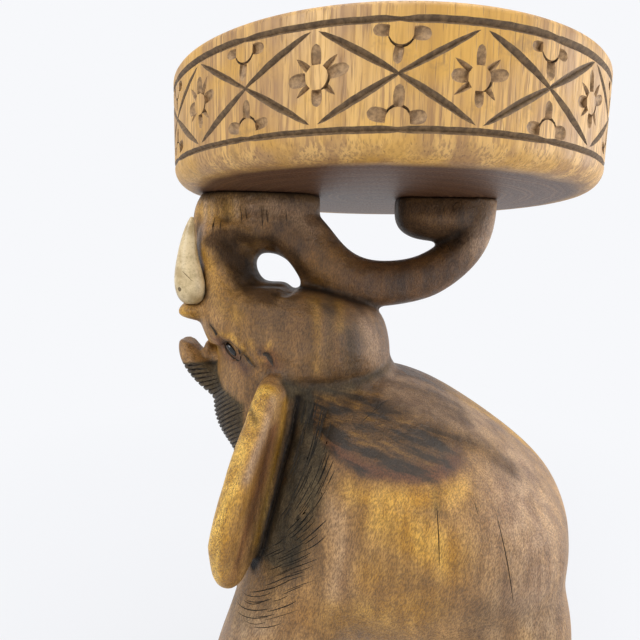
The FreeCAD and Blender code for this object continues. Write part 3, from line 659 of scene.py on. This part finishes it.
# Tones of the wood, with painted shade and painted sheen, laid on the elephant: path in X and Z, width,
# strength, least and greatest distance from the middle plane.
TONES = {
    # Dark greys: mostly painted shade behind the ears, in the crease under the head and under the seat's
    # edge, with some grey patches in the wood; the patch on the head's side is a painted grey reflection.
    "grey_tone_and_shade": [
        ([(-40, 270), (-44, 250), (-49, 230), (-55, 208), (-61, 188)], 12, 1.5, 40, 82),
        ([(-34, 262), (-38, 240), (-44, 215), (-52, 190)], 9, 1.1, 40, 200),
        ([(-57, 283), (-48, 278), (-30, 278), (-16, 280)], 7, 1.3, 0, 60),
        ([(-16, 284), (8, 290)], 3, 0.9, 0, 60),
        ([(-84, 150), (-74, 158), (-66, 164), (-60, 172)], 10, 0.55, 40, 200),
        (CREST_TOP, 5, 0.8, 0, 60), ([(60, 172), (85, 160)], 18, 0.4, 30, 200),
        ([(-32, 334), (-31, 316), (-32, 294)], 3.8, 0.5, 20, 60), ([(-20, 316), (-18, 296)], 7, 0.6, 20, 60),
        ([(27, 236), (27, 227)], 3, 0.6, 60, 200), ([(70, 100), (74, 20)], 22, 0.35, 0, 70),
        ([(-60, 100), (-72, 20)], 22, 0.35, 0, 70),
    ],
    # Dark browns: painted shade round the trunk's hole, beside the tusks and under the seat, and darker
    # browns of the wood on the head, the neck and the crest.
    "umber": [
        ([(-84, 330), (-72, 326), (-52, 318), (-34, 322)], 17, 0.42, 0, 60),
        ([(-105, 368), (-99, 372), (-91, 373), (-82, 370)], 4.4, 1.5, 0, 60),
        ([(-97, 367), (-91, 358), (-86, 349), (-80, 341), (-68, 338)], 8, 1.5, 0, 60),
        ([(-82, 371), (-70, 371), (-56, 363), (-47, 350)], 4, 1.0, 0, 60),
        ([(13, 395), (14, 383), (30, 376), (50, 375)], 9, 1.2, 0, 60),
        ([(16, 392), (47, 394)], 8, 1.1, 0, 60),
        ([(-52, 341), (-37, 339), (-21, 335), (-6, 331)], 3, 1.2, 0, 60),
        ([(-118, 384), (-118, 369), (-115, 355), (-111, 341), (-107, 335)], 3.6, 1.3, 17, 36),
        ([(-20, 352), (10, 344), (40, 346), (64, 360)], 10, 0.4, 0, 60),
        ([(-34, 286), (-10, 290), (14, 284), (36, 274), (52, 265)], 8, 0.6, 30, 200),
        ([(30, 262), (48, 257), (64, 249), (76, 240)], 4.5, 0.7, 40, 200),
        ([(-98, 394), (-97, 381)], 2.0, 0.8, 6, 60), ([(-75, 395), (-74, 385)], 2.0, 0.7, 6, 60),
    ],
    # Pale pinkish greys: mostly painted sheen and highlights on the right of the flank and the back, on the
    # head, along each ear's ridge and on the trunk's tip, with pale streaks of grain on the crest.
    "pale": [
        ([(-90, 134), (-80, 146), (-70, 152)], 13, 1.0, 40, 200),
        ([(84, 252), (82, 235), (80, 215), (82, 189), (84, 160)], 27, 1.1, 26, 200),
        ([(10, 281), (31, 274), (55, 264), (76, 251)], 9, 1.1, 20, 70),
        ([(-26, 226), (-22, 205), (-25, 175)], 7, 0.6, 60, 200),
        ([(-8, 322), (-4, 306), (2, 288)], 6, 0.9, 20, 70),
        ([(-63, 281), (-64, 270), (-68, 259), (-73, 246)], 2.8, 1.2, 70, 200),
        ([(-78, 388), (-60, 388), (-42, 378)], 6, 0.6, 10, 60),
        ([(62, 370), (78, 382), (84, 396)], 9, 1.1, 0, 60), ([(-111, 394), (-110, 372)], 1.6, 1.0, 6, 60),
        ([(-106, 395), (-106, 380)], 1.2, 0.9, 6, 60), ([(-91, 395), (-90, 384)], 1.5, 0.8, 6, 60),
        ([(-82, 396), (-80, 383)], 2.0, 0.9, 6, 60), ([(-67, 394), (-65, 384)], 2.4, 0.7, 6, 60),
    ],
    "red": [
        ([(-99, 309), (-94, 301), (-88, 297), (-82, 293)], 5, 1.0, 20, 60),
        ([(-61, 266), (-65, 247), (-70, 228), (-76, 205), (-82, 185)], 3, 1.0, 64, 92),
        ([(-41, 269), (-43, 250), (-48, 230), (-55, 207)], 3, 0.6, 40, 90),
        ([(-72, 303), (-67, 303), (-64, 296)], 5, 0.9, 20, 70),
        ([(-10, 350), (20, 346), (50, 352)], 14, 0.3, 0, 60),
        ([(-28, 253), (-13, 246), (-3, 245), (13, 244), (30, 244), (42, 250)], 5, 1.0, 60, 200),
    ],
    "gold": [
        ([(-68, 286), (-72, 274), (-77, 262), (-81, 246), (-86, 228), (-90, 210), (-94, 190)],
         8, 1.7, 66, 200),
        ([(-94, 190), (-96, 165)], 11, 1.7, 66, 200),
        ([(-56, 278), (-58, 258), (-61, 240), (-66, 215), (-71, 195)], 2.0, 1.0, 55, 78),
        ([(-19, 233), (2, 233), (23, 235), (40, 236)], 7, 1.0, 60, 200),
        ([(0, 222), (14, 215), (30, 206)], 14, 1.0, 60, 200), ([(-4, 196), (23, 200)], 14, 0.4, 60, 200),
        ([(-20, 162), (6, 168), (20, 176)], 13, 0.6, 60, 200),
        ([(-112, 364), (-104, 350), (-98, 336), (-88, 325)], 6, 0.55, 0, 60),
        ([(-114, 388), (-104, 386), (-96, 388)], 6, 0.8, 10, 60),
        ([(-124, 325), (-117, 322)], 5, 1.04, 0, 60),
        ([(-116, 316), (-109, 307), (-105, 297)], 3, 1.0, 0, 60),
        ([(-100, 312), (-91, 312), (-84, 306), (-78, 297)], 2.0, 0.9, 15, 60),
        ([(-78, 309), (-72, 299), (-66, 309)], 2.0, 0.7, 20, 60),
        ([(-40, 334), (-39, 316), (-39, 294)], 3.2, 0.4, 20, 60),
        ([(-26, 332), (-25, 318)], 3.0, 0.35, 20, 60),
        ([(60, 262), (84, 250), (100, 236), (108, 222), (112, 200)], 14, 0.9, 0, 26),
        ([(-75, 150), (-74, 60)], 14, 0.5, 70, 200), ([(84, 150), (76, 60)], 14, 0.5, 70, 200),
    ],
    # Near black: painted shade in the groove behind each ear, along the seat's edge, in the creases round
    # the eyes, along the seams and round the trunk's hole and the tusks.
    "shade_and_stain": [
        (EAR_GROOVE, 2.4, 1.3, 44, 76),
        (CREST_TOP, 1.6, 0.9, 0, 60), ([(12, 400), (77, 400)], 1.6, 0.9, 0, 60),
        ([(-104, 318), (-95, 307)], 1.6, 0.6, 15, 60),
        ([(-97, 308), (-93, 303), (-89, 299), (-84, 296)], 3.4, 0.5, 15, 60),
        ([(-84, 303), (-75, 294)], 1.6, 0.7, 20, 60),
        (TEMPLE_WRINKLE, 1.6, 0.5, 20, 70),
        (EAR_FOLD, 1.3, 0.7, 68, 120),
        ([(-51, 340.5), (-37, 338.5), (-21, 334.5), (-6, 330)], 1.2, 0.9, 0, 60),
        ([(-97, 368), (-90, 356), (-84, 346)], 3.5, 0.45, 0, 60),
        ([(-119, 380), (-118, 366), (-115, 352)], 2.2, 0.8, 18, 36),
    ],
}
# The dark band in the shoulder's grain, in X and Z: its crisp lower edge and its soft upper one.
BAND_EDGE = [(-40, 258), (-26, 247), (-13, 241), (-3, 240), (13, 240), (28, 239.5), (36, 245), (46, 251),
             (58, 250), (78, 244)]
BAND_TOP = [(-40, 284), (-28, 284), (-5, 284), (10, 279), (32, 270), (50, 263), (66, 256), (78, 250)]
# The grooves round the throat: the axis they are swept about, in X, the radius from which they are laid on
# it, the highest and the lowest one's height at the front, their spacing, and how far they rise sideways.
THROAT_AXIS = -80
THROAT_START = 90
THROAT_FRONT = (285, 219)
THROAT_SPACING = 3.1
THROAT_RISE = 25


def throat_reach(front):
    """How far round the throat the groove with a height at the front runs, in degrees."""
    return np.minimum(86, 33 + 1.35 * (THROAT_FRONT[0] - front))


def eased(made):
    """Lets neighbouring forms flow into each other, as the carver's rasp does."""
    points, normals = read_points(made.data)
    places = np.c_[points[:, 0], np.abs(points[:, 1]), points[:, 2]]
    for number, (low, high, passes) in enumerate(EASED):
        inner = np.minimum(places - low, np.array(high) - places).min(1)
        share = np.clip(inner / 8, 0, 1)
        group = made.vertex_groups.new(name=f"eased_{number}")
        for level in range(1, 5):
            chosen = np.flatnonzero(np.round(share * 4) == level)
            group.add(chosen.tolist(), level / 4, "REPLACE")
        modify(made, "eased", "SMOOTH", vertex_group=group.name, factor=0.5, iterations=passes)
    settled(made)


def press_creases(points, normals):
    """Presses the soft hollows into the elephant's sides and raises the swellings."""
    flat = points[:, [0, 2]]
    for path, width, depth, least, most in CREASES:
        gap, along = gap_to_path(flat, path)
        aside = np.abs(points[:, 1])
        there = (aside > least) & (aside < most) & (np.abs(normals[:, 1]) > 0.15)
        amount = depth * np.exp(-((gap / width) ** 2)) * np.sin(np.pi * np.clip(along, 0.08, 0.92)) ** 0.5
        points -= normals * (amount * there)[:, None]


def trim_ears(points):
    """Trims the front edge of both ears straight."""
    trim = np.interp(points[:, 2], *np.array(EAR_TRIM, float).T, left=0, right=0)
    rear = np.interp(points[:, 2], *np.array(EAR_REAR, float).T)
    forward = np.clip((rear - points[:, 0]) / EAR_BREADTH, 0, 1)
    outside = np.clip((np.abs(points[:, 1]) - EAR_ASIDE) / 12, 0, 1)
    points[:, 0] += trim * forward * outside


def close_sockets(points):
    """Draws the cheek flat over the round sockets, so that lids can be cut round the eyes."""
    flat = points[:, [0, 2]] - np.array(EYE_PLACE)
    reach = np.linalg.norm(flat, axis=1)
    for side in (-1, 1):
        cheek = points[:, 1] * side > CHEEK_ASIDE
        rim = cheek & (reach > SOCKET_REACH) & (reach < SOCKET_RING)
        known = np.c_[np.ones(rim.sum()), flat[rim]]
        slope = np.linalg.lstsq(known, points[rim, 1], rcond=None)[0]
        inside = cheek & (reach < SOCKET_REACH)
        level = np.c_[np.ones(inside.sum()), flat[inside]] @ slope
        points[inside, 1] = side * np.maximum(side * points[inside, 1], side * level)


def tones_and_painted_light(mesh):
    """How much of each tone, painted shade and painted sheen each point of the elephant carries."""
    points = read_points(mesh)[0]
    flat = points[:, [0, 2]]
    aside = np.abs(points[:, 1])
    tones = {name: np.zeros(len(points)) for name in TONES}
    for name, rows in TONES.items():
        for path, width, strength, least, most in rows:
            gap = gap_to_path(flat, path)[0]
            there = np.clip((aside - least) / 4 + 0.5, 0, 1) * np.clip((most - aside) / 4 + 0.5, 0, 1)
            tones[name] = np.maximum(tones[name], strength * np.exp(-((gap / width) ** 2)) * there)
    low, high = np.array(BAND_EDGE, float), np.array(BAND_TOP, float)
    above = flat[:, 1] - np.interp(flat[:, 0], low[:, 0], low[:, 1], left=1e3, right=1e3)
    below = np.interp(flat[:, 0], high[:, 0], high[:, 1]) - flat[:, 1]
    band = np.clip(above / 2.5, 0, 1) * np.clip(below / 10, 0, 1) * (aside > 40)
    tones["band"] = band * np.clip((78 - flat[:, 0]) / 44, 0, 1)
    # The throat under the jaw gets painted shade, in the dark grey tone.
    turn = np.degrees(np.arctan2(aside, THROAT_AXIS - flat[:, 0]))
    front = flat[:, 1] - THROAT_RISE * (1 - np.cos(np.radians(turn)))
    ends = np.clip((THROAT_FRONT[0] + 3 - front) / 2, 0, 1)
    ends *= np.clip((front - THROAT_FRONT[1] + 6) / 6, 0, 1)
    throat = ends * np.clip((throat_reach(front) + 3 - turn) / 7, 0, 1) * np.clip((60 - aside) / 14, 0, 1)
    tones["grey_tone_and_shade"] = np.maximum(tones["grey_tone_and_shade"], 1.7 * throat)
    return tones


def painted_hollow_shade(mesh):
    """How far each point lies in a hollow, as a share of painted shade that darkens it."""
    count = len(mesh.vertices)
    ends = np.empty(len(mesh.edges) * 2, np.int64)
    mesh.edges.foreach_get("vertices", ends)
    ends = ends.reshape(-1, 2)
    points, normals = read_points(mesh)
    links = np.bincount(ends.ravel(), minlength=count).clip(1)[:, None]

    def around(values):
        total = np.zeros_like(values)
        np.add.at(total, ends[:, 0], values[ends[:, 1]])
        np.add.at(total, ends[:, 1], values[ends[:, 0]])
        return total / links

    smooth = points
    for _ in range(12):
        smooth = around(smooth)
    hollow = ((smooth - points) * normals).sum(1)[:, None]
    for _ in range(2):
        hollow = around(hollow)
    return np.clip((hollow[:, 0] - 0.2) / 1.4, 0, 1)


def paint(mesh, name, values):
    """Keeps a value for each point on the mesh, for its finish."""
    mark = mesh.attributes.new(name, "FLOAT", "POINT")
    mark.data.foreach_set("value", values.astype(np.float32))


def laid_path(tree, starts, targets):
    """Points and normals where lines from starts to targets meet a surface, or none if one misses."""
    points, outs = [], []
    for start, target in zip(starts, targets):
        start, target = Vector(start) * MM, Vector(target) * MM
        hit, normal, face, distance = tree.ray_cast(start, (target - start).normalized())
        if hit is None:
            return [], []
        points.append(hit)
        outs.append(normal)
    return points, outs


def surface_strokes(made, strokes, count=3):
    """Batches of fine strokes on a piece: start points, targets in the wood, width, depth."""
    tree = BVHTree.FromObject(made, bpy.context.evaluated_depsgraph_get())
    batches = [bmesh.new() for _ in range(count)]
    for number, (starts, targets, width, depth) in enumerate(strokes):
        points, outs = laid_path(tree, starts, targets)
        if points:
            widths = [w * MM for w in spindle(len(points), width, 0.4)]
            depths = [d * MM for d in spindle(len(points), depth, 0.4)]
            gouge(batches[number % count], points, outs, widths, depths)
    return batches


# A distance that lies outside the elephant at its front and its sides, and one behind its tail.
OUTSIDE = 200
BEHIND = 300
# The middle of each foot and its toenails, by their distance sideways.
FOOT_ASIDE = 60
TOENAILS = (-19, -6.5, 6.5, 19)


def from_side(path, side, width, depth):
    """A stroke by X and Z, laid on from the left side, -1, or from the right side, 1."""
    starts = [(east, side * OUTSIDE, up) for east, up in path]
    return starts, [(east, 0, up) for east, up in path], width, depth


def both_sides(path, width, depth):
    """A stroke by X and Z on the left side and its twin on the right side."""
    return [from_side(path, side, width, depth) for side in (-1, 1)]


def from_end(path, start, target, width, depth):
    """A stroke by Y and Z, laid on from one X towards another."""
    starts = [(start, aside, up) for aside, up in path]
    return starts, [(target, aside, up) for aside, up in path], width, depth


# The field of fine lines behind the ear: its front and rear edges, and how the lines run in it.
FIELD_FRONT = [(-46, 270), (-49, 250), (-53, 229), (-58, 206), (-64, 185), (-72, 166), (-84, 150)]
FIELD_REAR = [(-35, 268), (-29, 254), (-29, 238), (-33, 218), (-38, 196), (-46, 174), (-56, 156)]
FIELD_RUNS = [(-3, -13), (-5, -16), (-8, -17), (-12, -15), (-15, -12), (-18, -9), (-20, -7)]


def between_rows(rows, along):
    """A pair of values part of the way down a table, from 0 to 1."""
    place = along * (len(rows) - 1)
    before = min(int(place), len(rows) - 2)
    return part_way(rows[before], rows[before + 1], place - before)


def neck_strokes(hand):
    """The fine lines that run down the neck behind the ear."""
    strokes = []
    for number in range(96):
        along = ((number + hand.random()) / 96) ** 1.25
        front, rear = between_rows(FIELD_FRONT, along), between_rows(FIELD_REAR, along)
        run = between_rows(FIELD_RUNS, along)
        middle = part_way(front, rear, hand.random())
        reach = hand.uniform(0.25, 0.6)
        high = (middle[0] - run[0] * reach, middle[1] - run[1] * reach)
        low = (middle[0] + run[0] * reach, middle[1] + run[1] * reach)
        width = hand.uniform(0.45, 0.8) * (1 - 0.4 * along)
        strokes += both_sides(straight(low, high, 8, hand.uniform(-1, 0.4)), width, 0.4)
    return strokes


def drying_cracks():
    """The two upright cracks in the flank and the short marks near them."""
    return (
        both_sides(straight((27, 231), (28.5, 200), 10, 0), 0.5, 1.2)
        + both_sides(straight((60, 226), (71, 176), 12, 0), 0.5, 1.2)
        + both_sides(straight((48, 232), (50, 224), 4, 0), 0.35, 0.5)
        + both_sides(straight((-6, 270), (6, 276), 4, 1), 0.45, 0.35)
        + both_sides(straight((-12, 266), (-2, 271), 4, 1), 0.45, 0.35)
    )


def throat_strokes(hand):
    """The close grooves that cross the throat and rise to its crisp rear edge on both sides."""
    strokes = []
    for front in np.arange(*THROAT_FRONT, -THROAT_SPACING):
        reach = math.radians(throat_reach(front) + hand.uniform(-2, 2))
        starts, targets = [], []
        for step in range(17):
            turn = (step / 8 - 1) * reach
            height = front + THROAT_RISE * (1 - math.cos(turn)) + hand.uniform(-0.12, 0.12)
            east, aside = -THROAT_START * math.cos(turn), THROAT_START * math.sin(turn)
            starts.append((THROAT_AXIS + east, aside, height))
            targets.append((THROAT_AXIS, 0, height))
        strokes.append((starts, targets, hand.uniform(1.7, 2.2), 1.3))
    return strokes


def trunk_strokes(hand):
    """Tool marks on the crest, the crease of the curled tip and the scallops beside it."""
    strokes = []
    for east, top, length in ((-88, 391, 12), (-85, 390, 8), (-75, 391, 14), (-72, 390, 10), (-104, 386, 16),
                              (-100, 383, 9), (-60, 390, 9)):
        strokes += both_sides(straight((east, top), (east + 1, top - length), 5), 0.6, 0.4)
    strokes += both_sides([(21, 373.5), (28, 373.6), (36, 374), (43, 375), (50, 377)], 1.6, 3.0)
    strokes += both_sides([(49, 397), (46.5, 395), (46, 392.5), (48, 390.5)], 0.8, 0.8)
    strokes += both_sides([(42, 396), (40, 392), (41, 388)], 0.7, 0.6)
    for number in range(5):
        east = 24 + 5.5 * number + hand.uniform(-1, 1)
        strokes += both_sides(straight((east, 371), (east + 1.5, 366), 4), 0.6, 0.5)
    strokes += both_sides([(-53, 340.5), (-37, 338.5), (-21, 334.5), (-8, 330.5)], 1.1, 1.4)
    return strokes


def almond(length, height, steps=20):
    """The outline of an eye in X and Z, pointed at both corners."""
    outline = []
    for step in range(steps + 1):
        turn = 2 * math.pi * step / steps
        along = length * math.cos(turn)
        across = height * math.copysign(abs(math.sin(turn)) ** 1.3, math.sin(turn))
        outline.append((
            EYE_PLACE[0] + along * math.cos(EYE_SLANT) - across * math.sin(EYE_SLANT),
            EYE_PLACE[1] + along * math.sin(EYE_SLANT) + across * math.cos(EYE_SLANT),
        ))
    return outline


def lid_strokes():
    """The lids' edges and the wrinkles round the eyes."""
    lids = almond(EYE_LENGTH + 1.2, EYE_HEIGHT + 1.0)
    return (
        both_sides(lids[:11], 1.2, 1.1)
        + both_sides([(-105, 319), (-101, 314), (-98, 309.5)], 1.6, 0.9)
        + both_sides([(-84, 302), (-80, 298.5), (-76, 294)], 2.0, 1.3)
        + both_sides(lids[10:], 1.2, 1.1)
        + both_sides([(-72, 303.5), (-67.5, 302.5), (-65, 299), (-64, 295)], 2.0, 1.0)
    )


def ear_strokes():
    """The deep groove where each ear's rear edge leaves the neck."""
    path = [(-49, 277), (-51, 266), (-53, 254), (-57, 238), (-61, 222), (-65, 205), (-69, 188), (-74, 177)]
    return both_sides(path, 1.8, 1.4)


def foot_strokes():
    """The toenails, cut as arcs on the front of each foot."""
    strokes = []
    turns = [math.pi * step / 8 for step in range(9)]
    for start, target in ((-OUTSIDE, -74), (-10, 75)):
        for side in (-1, 1):
            for nail in TOENAILS:
                middle = side * FOOT_ASIDE + nail
                arc = [(middle + 5.2 * math.cos(turn), 3 + 12 * math.sin(turn)) for turn in turns]
                strokes.append(from_end(arc, start, target, 1.3, 1.0))
    return strokes


def tail_strokes():
    """The lines in the tail's tuft."""
    strokes = []
    for aside in (-5, -2.5, 0, 2.5, 5):
        path = [(aside * share, 118 - 26 * (1 - share)) for share in (1, 0.8, 0.6, 0.4)]
        strokes.append(from_end(path, BEHIND, 0, 1.0, 0.8))
    return strokes


def carved_elephant():
    """The elephant: the CAD's form, sanded, creased and cut."""
    made = node_copy("elephant_body", "stool_elephant", TONGUE + ROOT)
    even_skin(made, SKIN_SPACING, 4)
    points = read_points(made.data)[0]
    close_sockets(points)
    trim_ears(points)
    write_points(made.data, points)
    eased(made)
    points, normals = read_points(made.data)
    press_creases(points, normals)
    write_points(made.data, points)
    modify(made, "thin", "DECIMATE", ratio=KEPT_SHARE)
    settled(made)
    made.data.materials.append(ELEPHANT_WOOD)
    hand = random.Random(3)
    carve(made, surface_strokes(made, neck_strokes(hand) + drying_cracks()), [NECK_STAIN])
    carve(made, surface_strokes(made, throat_strokes(hand) + tail_strokes()), [LINE_STAIN])
    carve(made, surface_strokes(made, trunk_strokes(hand) + foot_strokes()), [SCRATCH_STAIN])
    carve(made, surface_strokes(made, ear_strokes(), 1), [LINE_STAIN])
    carve(made, surface_strokes(made, lid_strokes(), 6), [LINE_STAIN])
    points = read_points(made.data)[0]
    points[:, 2] = np.maximum(points[:, 2], 0)
    write_points(made.data, points)
    tones = tones_and_painted_light(made.data)
    # Painted shade, darker the deeper a hollow is, joins the near-black tone.
    tones["shade_and_stain"] = np.maximum(tones["shade_and_stain"], painted_hollow_shade(made.data))
    for name, values in tones.items():
        paint(made.data, name, values)
    return made


def carved_tusk(side, way):
    """A tusk: sanded smooth, and cracked round its lower third and along it."""
    made = node_copy(f"tusk_{side}", f"tusk_carved_{side}")
    even_skin(made, 0.8, 2)
    made.data.materials.append(PALE_WOOD)
    ring = [(way * aside, up) for aside, up in ((26, 352), (29, 349.5), (33, 347), (37, 346), (40, 347))]
    round_crack = from_end(ring, -OUTSIDE, 0, 0.3, 0.25)
    side_crack = from_side([(-123, 352), (-119, 349), (-115, 345), (-111, 341)], way, 0.25, 0.2)
    carve(made, surface_strokes(made, [side_crack, round_crack]), [TUSK_STAIN])
    points, normals = read_points(made.data)
    # Painted shade on the side that faces the head, and a browner tone towards the root.
    head_side_shade = np.clip(-way * normals[:, 1], 0, 1) * 0.7
    rooted = np.clip((342 - points[:, 2]) / 14, 0, 1) * 0.35
    paint(made.data, "shade_and_stain", np.clip(head_side_shade + rooted, 0, 1))
    return made


def almond_eye(side, way):
    """An eye: a gloss bead that is drawn out to an almond."""
    bm = bmesh.new()
    bmesh.ops.create_icosphere(bm, subdivisions=4, radius=1)
    low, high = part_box(f"eye_{side}")
    outside = max(abs(low[1]), abs(high[1])) - 0.9 * MM
    thick = 5.0 * MM
    shape = Matrix.Diagonal((EYE_LENGTH * MM, thick, EYE_HEIGHT * MM, 1))
    slant = Matrix.Rotation(-EYE_SLANT, 4, "Y")
    place = Matrix.Translation((EYE_PLACE[0] * MM, way * (outside - thick), EYE_PLACE[1] * MM))
    bmesh.ops.transform(bm, matrix=place @ slant @ shape, verts=bm.verts)
    return piece(bm, f"eye_almond_{side}")


def finished(made, node, angle):
    """Smooths a piece but for its edges sharper than an angle, and sets its place in the frame."""
    made.data.shade_smooth()
    made.data.set_sharp_from_angle(angle=math.radians(angle))
    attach(made, "root")
    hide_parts(node)


CUT_STAIN = stain_finish("groove_brown_stain", rgb(92, 72, 50), rgb(132, 106, 74))
CHIP_STAIN = stain_finish("petal_brown_stain", rgb(126, 98, 66), rgb(178, 142, 98))
LINE_STAIN = stain_finish("line_dark_stain", rgb(34, 27, 20), rgb(74, 60, 44))
SCRATCH_STAIN = stain_finish("scratch_brown_stain", rgb(48, 34, 22), rgb(92, 68, 42))
NECK_STAIN = stain_finish("neck_smoky_stain", rgb(25, 23, 19), rgb(46, 40, 31))
TUSK_STAIN = stain_finish("tusk_crack_stain", rgb(128, 104, 68), rgb(160, 134, 94))
SEAT_WOOD = frieze_wood()
ELEPHANT_WOOD = body_wood()
PALE_WOOD = tusk_finish()
GLOSS_BLACK = eye_finish()

seat = seat_blank()
seat.data.materials.append(SEAT_WOOD)
carve(seat, seat_frieze(), [CUT_STAIN] * 6 + [CHIP_STAIN] * 2 + [CUT_STAIN])
finished(seat, "seat_top", 30)

elephant = carved_elephant()
finished(elephant, "elephant_body", 50)

for side, way in (("left", -1), ("right", 1)):
    finished(carved_tusk(side, way), f"tusk_{side}", 50)
    eye = almond_eye(side, way)
    eye.data.materials.append(GLOSS_BLACK)
    finished(eye, f"eye_{side}", 60)

BRAD_STEEL = brad_finish()
DOWEL_WOOD = dowel_finish()
# The CAD nodes that are shown as they are, with their finishes.
KEPT = {
    "tusk_brad_left": BRAD_STEEL, "tusk_brad_right": BRAD_STEEL, "seat_dowel_front_left": DOWEL_WOOD,
    "seat_dowel_front_right": DOWEL_WOOD, "seat_dowel_tip": DOWEL_WOOD,
}
for node, finish in KEPT.items():
    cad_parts[node].data.materials.clear()
    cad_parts[node].data.materials.append(finish)


# Floor, camera and light
BACKDROP_WHITE = rgb(247, 248, 251)
CAMERA_PLACE = (-0.03705, -0.3294, 0.3601)
CAMERA_DIP = 7.48
CAMERA_ROLL = 1.24


def seen_plainly(tree):
    """1 for the rays of the camera and of clear reflections, 0 for the light on the object."""
    path = tree.nodes.new("ShaderNodeLightPath")
    seen = path.outputs["Is Camera Ray"]
    for kind in ("Is Glossy Ray", "Is Transmission Ray"):
        both = tree.nodes.new("ShaderNodeMath")
        both.operation = "MAXIMUM"
        tree.links.new(seen, both.inputs[0])
        tree.links.new(path.outputs[kind], both.inputs[1])
        seen = both.outputs[0]
    return seen


def studio_white():
    """A pale floor that the camera sees nearly plain, with some of the object's shadow left on it."""
    pale = Finish("studio_pale")
    pale.gloss(rgb(226, 228, 232), 0.9)
    plain = pale.add("ShaderNodeEmission", {"Color": BACKDROP_WHITE})
    reach = pale.add("ShaderNodeVectorMath", {0: pale.place}, operation="LENGTH")
    shown = pale.ramp(reach.outputs["Value"], 0.25, 0.9, 0.82, 1.0)
    share = pale.times(seen_plainly(pale.tree), shown)
    both = pale.add("ShaderNodeMixShader", {0: share, 1: pale.shader.outputs[0], 2: plain.outputs[0]})
    pale.put(pale.tree.nodes["Material Output"].inputs["Surface"], both.outputs[0])
    return pale.material


def studio():
    """The pale floor, which runs out to the backdrop."""
    bm = bmesh.new()
    bmesh.ops.create_grid(bm, x_segments=1, y_segments=1, size=12)
    floor = piece(bm, "studio_floor")
    floor.data.materials.append(studio_white())


def lamp(name, place, target, size, power, tint=(1, 1, 1)):
    """A square soft lamp."""
    light = bpy.data.lights.new(name, "AREA")
    light.shape = "SQUARE"
    light.size = size
    light.energy = power
    light.color = tint
    made = scene_object(name, light)
    made.location = place
    made.rotation_euler = (Vector(target) - Vector(place)).to_track_quat("-Z", "Y").to_euler()


def world_light(strength):
    """Even light from all round, with a pale background for the camera."""
    world = bpy.data.worlds.new("studio_air")
    world.use_nodes = True
    bpy.context.scene.world = world
    tree = world.node_tree
    back = tree.nodes["Background"]
    level = tree.nodes.new("ShaderNodeMapRange")
    tree.links.new(seen_plainly(tree), level.inputs[0])
    level.inputs[3].default_value = strength
    level.inputs[4].default_value = 1.0
    back.inputs["Color"].default_value = BACKDROP_WHITE
    tree.links.new(level.outputs[0], back.inputs["Strength"])


def camera():
    """The photograph's camera: close to the stool's left side and a little above its head."""
    lens = bpy.data.cameras.new("close_camera")
    lens.lens = 27.0
    lens.sensor_width = 36.0
    lens.clip_start = 0.01
    made = scene_object("close_camera", lens)
    made.location = CAMERA_PLACE
    tilt = Matrix.Rotation(math.radians(90 - CAMERA_DIP), 4, "X")
    roll = Matrix.Rotation(math.radians(CAMERA_ROLL), 4, "Z")
    made.rotation_euler = (tilt @ roll).to_euler()
    bpy.context.scene.camera = made


studio()
lamp("key_left_front", (-0.9, -1.1, 1.3), (0, 0, 0.3), 0.8, 15)
lamp("top_soft", (0.2, -0.1, 1.9), (0, 0, 0.3), 1.2, 12)
lamp("sheen_right", (1.3, -0.15, 0.4), (0.05, 0, 0.25), 1.2, 15, (1.0, 0.97, 0.94))
world_light(0.5)
camera()
bpy.context.scene.view_settings.view_transform = "Standard"
